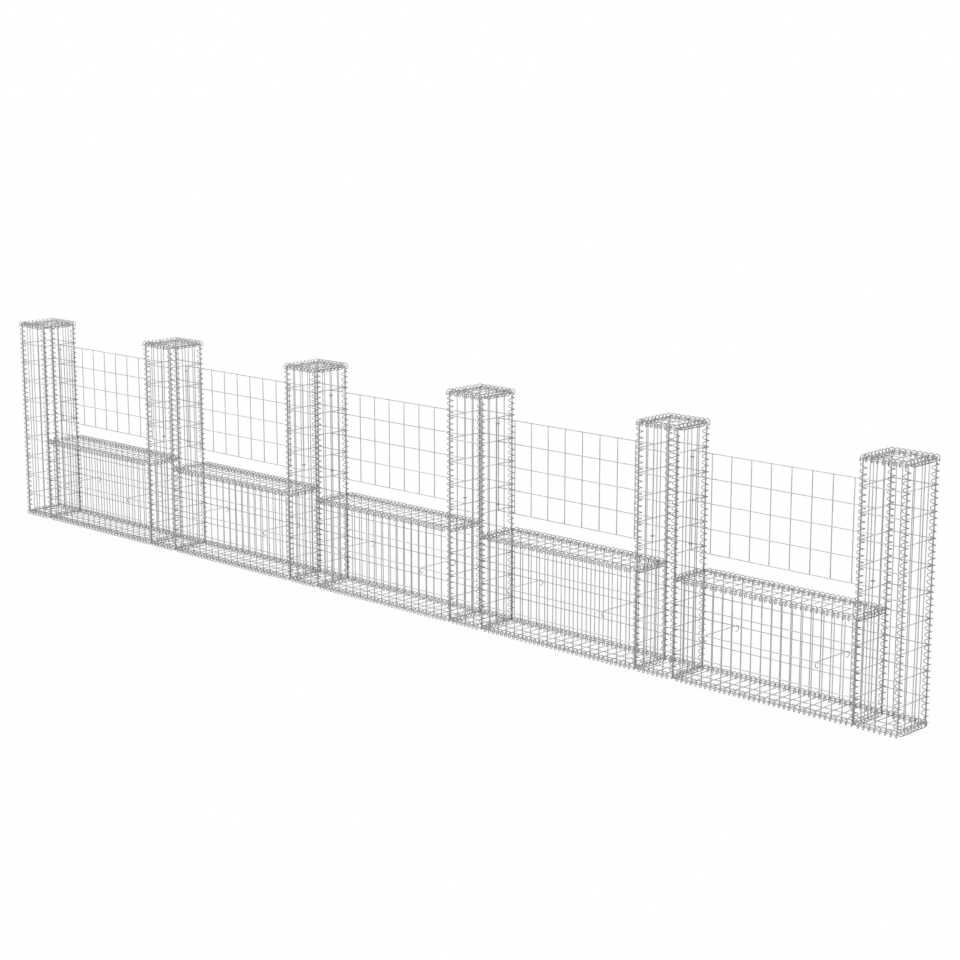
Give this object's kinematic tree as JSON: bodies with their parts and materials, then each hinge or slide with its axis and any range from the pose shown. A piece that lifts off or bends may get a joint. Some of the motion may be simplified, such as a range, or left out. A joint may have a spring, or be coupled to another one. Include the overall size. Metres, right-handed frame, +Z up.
{
  "type": "gabion wall",
  "caption": "Row of square welded-mesh gabion posts joined by low mesh baskets, with an open mesh screen above each basket and spiral binders along every edge.",
  "frame": {"origin": "middle of the footprint, on the ground", "axes": "+X along the wall, +Y from the front face to the back face, +Z up"},
  "size_m": [5.445, 0.226, 1.03],
  "materials": {
    "mesh_wire": "galvanised, satin",
    "binder_wire": "galvanised, bright",
    "tie_wire": "galvanised, satin"
  },
  "bodies": {
    "root": {"post_1_front_back_panels": "mesh_wire", "post_1_side_panels": "mesh_wire", "post_1_corner_spirals": "binder_wire", "post_2_front_back_panels": "mesh_wire", "post_2_side_panels": "mesh_wire", "post_2_corner_spirals": "binder_wire", "post_3_front_back_panels": "mesh_wire", "post_3_side_panels": "mesh_wire", "post_3_corner_spirals": "binder_wire", "post_4_front_back_panels": "mesh_wire", "post_4_side_panels": "mesh_wire", "post_4_corner_spirals": "binder_wire", "post_5_front_back_panels": "mesh_wire", "post_5_side_panels": "mesh_wire", "post_5_corner_spirals": "binder_wire", "post_6_front_back_panels": "mesh_wire", "post_6_side_panels": "mesh_wire", "post_6_corner_spirals": "binder_wire", "bay_1_front_back_panels": "mesh_wire", "bay_1_base_and_lid": "mesh_wire", "bay_1_rim_spirals": "binder_wire", "bay_1_screen": "mesh_wire", "bay_2_front_back_panels": "mesh_wire", "bay_2_base_and_lid": "mesh_wire", "bay_2_rim_spirals": "binder_wire", "bay_2_screen": "mesh_wire", "bay_3_front_back_panels": "mesh_wire", "bay_3_base_and_lid": "mesh_wire", "bay_3_rim_spirals": "binder_wire", "bay_3_screen": "mesh_wire", "bay_4_front_back_panels": "mesh_wire", "bay_4_base_and_lid": "mesh_wire", "bay_4_rim_spirals": "binder_wire", "bay_4_screen": "mesh_wire", "bay_5_front_back_panels": "mesh_wire", "bay_5_base_and_lid": "mesh_wire", "bay_5_rim_spirals": "binder_wire", "bay_5_screen": "mesh_wire", "post_bases": "mesh_wire", "post_lids": "mesh_wire", "post_rim_spirals": "binder_wire", "base_edge_spirals": "binder_wire", "base_cross_spirals": "binder_wire", "tie_wires": "tie_wire", "screen_rings": "binder_wire"}
  },
  "joints": []
}
